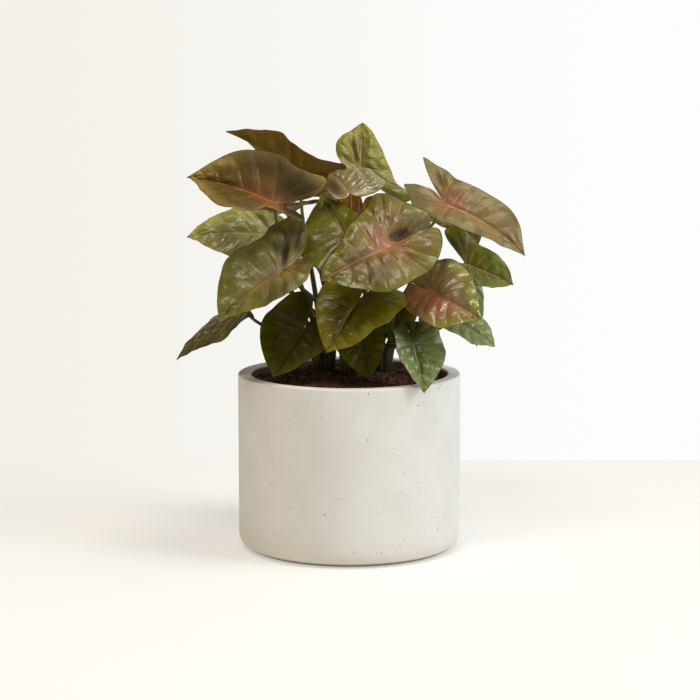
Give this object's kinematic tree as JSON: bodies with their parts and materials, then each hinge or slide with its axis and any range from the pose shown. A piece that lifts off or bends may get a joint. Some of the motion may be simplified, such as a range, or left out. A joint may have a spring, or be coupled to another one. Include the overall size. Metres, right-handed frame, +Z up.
{
  "type": "potted houseplant",
  "caption": "Arrowhead plant with bronze-green arrow-shaped leaves on slender stalks, growing from dark potting mix in a plain straight-sided round pot.",
  "frame": {"origin": "centre of the pot's flat underside, where the pot stands on a surface", "axes": "+Z up along the pot's axis; -Y is the front, the side towards which most of the leaves turn; +X is to the right seen from the front"},
  "size_m": [0.2776, 0.2396, 0.3413],
  "materials": {
    "pot": "matt off-white fired clay with small dark specks",
    "potting_mix": "dark red-brown fibrous potting mix",
    "leaf": "satin bronze-green leaf with quilted veins and a pink-copper blush",
    "petiole": "satin olive-brown leaf stalk",
    "stem": "satin dark green stem"
  },
  "bodies": {
    "root": {"pot": "pot", "potting_mix": "potting_mix", "stem_left": "stem", "petiole_far_left": "petiole", "leaf_far_left": "leaf", "petiole_upper_left": "petiole", "leaf_upper_left": "leaf", "petiole_front_left": "petiole", "leaf_front_left": "leaf", "petiole_low_left": "petiole", "leaf_low_left": "leaf", "petiole_back_low_left": "petiole", "leaf_back_low_left": "leaf", "petiole_high_left": "petiole", "leaf_high_left": "leaf", "petiole_mid_left": "petiole", "leaf_mid_left": "leaf", "stem_front": "stem", "petiole_foot_centre": "petiole", "leaf_foot_centre": "leaf", "petiole_over_rim": "petiole", "leaf_over_rim": "leaf", "petiole_front_centre": "petiole", "leaf_front_centre": "leaf", "petiole_inner_centre": "petiole", "leaf_inner_centre": "leaf", "petiole_curled_top": "petiole", "leaf_curled_top": "leaf", "petiole_inner_left": "petiole", "leaf_inner_left": "leaf", "petiole_low_centre": "petiole", "leaf_low_centre": "leaf", "stem_right": "stem", "petiole_foot_right": "petiole", "leaf_foot_right": "leaf", "petiole_front_right": "petiole", "leaf_front_right": "leaf", "petiole_low_right": "petiole", "leaf_low_right": "leaf", "petiole_hanging_right": "petiole", "leaf_hanging_right": "leaf", "petiole_mid_right": "petiole", "leaf_mid_right": "leaf", "petiole_back_low_right": "petiole", "leaf_back_low_right": "leaf", "petiole_upper_right": "petiole", "leaf_upper_right": "leaf", "stem_back": "stem", "petiole_back_upper_right": "petiole", "leaf_back_upper_right": "leaf", "petiole_back_low_centre": "petiole", "leaf_back_low_centre": "leaf", "petiole_back_upper_left": "petiole", "leaf_back_upper_left": "leaf", "petiole_back_upper_centre": "petiole", "leaf_back_upper_centre": "leaf", "petiole_top_centre": "petiole", "leaf_top_centre": "leaf", "petiole_inner_back": "petiole", "leaf_inner_back": "leaf"}
  },
  "joints": []
}
